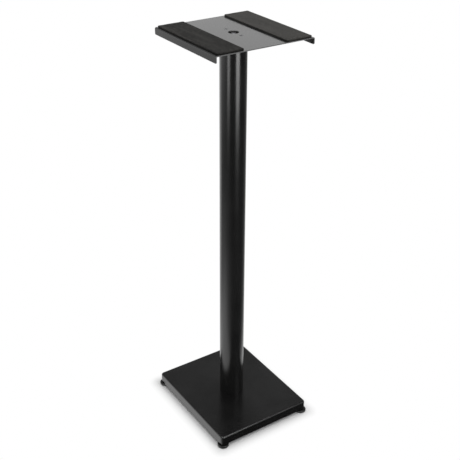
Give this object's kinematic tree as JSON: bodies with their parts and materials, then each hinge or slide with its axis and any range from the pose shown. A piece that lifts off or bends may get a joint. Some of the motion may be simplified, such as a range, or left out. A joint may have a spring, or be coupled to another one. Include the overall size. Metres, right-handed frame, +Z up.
{
  "type": "speaker stand",
  "caption": "Floor-standing loudspeaker stand with a folded steel top plate, foam pads, a round steel column and a flat tray base on levelling feet.",
  "frame": {"origin": "on the floor, below the middle of the base, where the column's axis meets it", "axes": "+Z up along the column; -Y towards the front, where the top plate's edge is open; +X to the right, towards one turned-down flange"},
  "size_m": [0.264, 0.312, 0.975],
  "materials": {
    "black_powder_coat": "satin fine-textured powder coat",
    "satin_black_tube": "satin black powder coat",
    "charcoal_powder_coat": "satin fine-textured powder coat",
    "zinc_steel": "zinc plated",
    "black_oxide_steel": "black oxide",
    "black_foam": "matte closed-cell foam",
    "black_plastic": "moulded, satin",
    "black_rubber": "matte"
  },
  "bodies": {
    "stand": {"base_tray": "black_powder_coat", "base_spreader_plate": "black_powder_coat", "base_bolts": "zinc_steel", "base_bolt_washers": "zinc_steel", "column_weld_nuts": "zinc_steel", "column_tube": "satin_black_tube", "column_bottom_disc": "black_powder_coat", "column_top_disc": "black_powder_coat", "column_top_nut": "zinc_steel", "column_flange": "black_powder_coat", "top_plate": "charcoal_powder_coat", "top_plate_screws": "black_oxide_steel", "centre_bolt": "black_oxide_steel", "centre_bolt_washer": "black_oxide_steel", "left_pad": "black_foam", "right_pad": "black_foam", "foot_weld_nuts": "zinc_steel", "corner_plate_front_left": "black_powder_coat", "corner_plate_front_right": "black_powder_coat", "corner_plate_back_left": "black_powder_coat", "corner_plate_back_right": "black_powder_coat"},
    "foot_front_left": {"foot_front_left_disc": "black_plastic", "foot_front_left_sole": "black_rubber"},
    "stud_front_left": {"foot_front_left_stud": "zinc_steel"},
    "foot_front_right": {"foot_front_right_disc": "black_plastic", "foot_front_right_sole": "black_rubber"},
    "stud_front_right": {"foot_front_right_stud": "zinc_steel"},
    "foot_back_left": {"foot_back_left_disc": "black_plastic", "foot_back_left_sole": "black_rubber"},
    "stud_back_left": {"foot_back_left_stud": "zinc_steel"},
    "foot_back_right": {"foot_back_right_disc": "black_plastic", "foot_back_right_sole": "black_rubber"},
    "stud_back_right": {"foot_back_right_stud": "zinc_steel"}
  },
  "joints": [
    {"name": "foot_front_left_height", "type": "slide", "parent": "stand", "child": "foot_front_left", "axis": [0, 0, -1], "range_m": [0, 0.008]},
    {"name": "stud_front_left_turn", "type": "hinge", "parent": "foot_front_left", "child": "stud_front_left", "pos_m": [-0.11803, -0.14203, 0.009], "axis": [0, 0, -1], "range_deg": [0, 2880]},
    {"name": "foot_front_right_height", "type": "slide", "parent": "stand", "child": "foot_front_right", "axis": [0, 0, -1], "range_m": [0, 0.008]},
    {"name": "stud_front_right_turn", "type": "hinge", "parent": "foot_front_right", "child": "stud_front_right", "pos_m": [0.11803, -0.14203, 0.009], "axis": [0, 0, -1], "range_deg": [0, 2880]},
    {"name": "foot_back_left_height", "type": "slide", "parent": "stand", "child": "foot_back_left", "axis": [0, 0, -1], "range_m": [0, 0.008]},
    {"name": "stud_back_left_turn", "type": "hinge", "parent": "foot_back_left", "child": "stud_back_left", "pos_m": [-0.11803, 0.14203, 0.009], "axis": [0, 0, -1], "range_deg": [0, 2880]},
    {"name": "foot_back_right_height", "type": "slide", "parent": "stand", "child": "foot_back_right", "axis": [0, 0, -1], "range_m": [0, 0.008]},
    {"name": "stud_back_right_turn", "type": "hinge", "parent": "foot_back_right", "child": "stud_back_right", "pos_m": [0.11803, 0.14203, 0.009], "axis": [0, 0, -1], "range_deg": [0, 2880]}
  ],
  "couplings": [
    {"joint": "stud_front_left_turn", "follows": "foot_front_left_height", "rad_per_m": 6283.2},
    {"joint": "stud_front_right_turn", "follows": "foot_front_right_height", "rad_per_m": 6283.2},
    {"joint": "stud_back_left_turn", "follows": "foot_back_left_height", "rad_per_m": 6283.2},
    {"joint": "stud_back_right_turn", "follows": "foot_back_right_height", "rad_per_m": 6283.2}
  ]
}
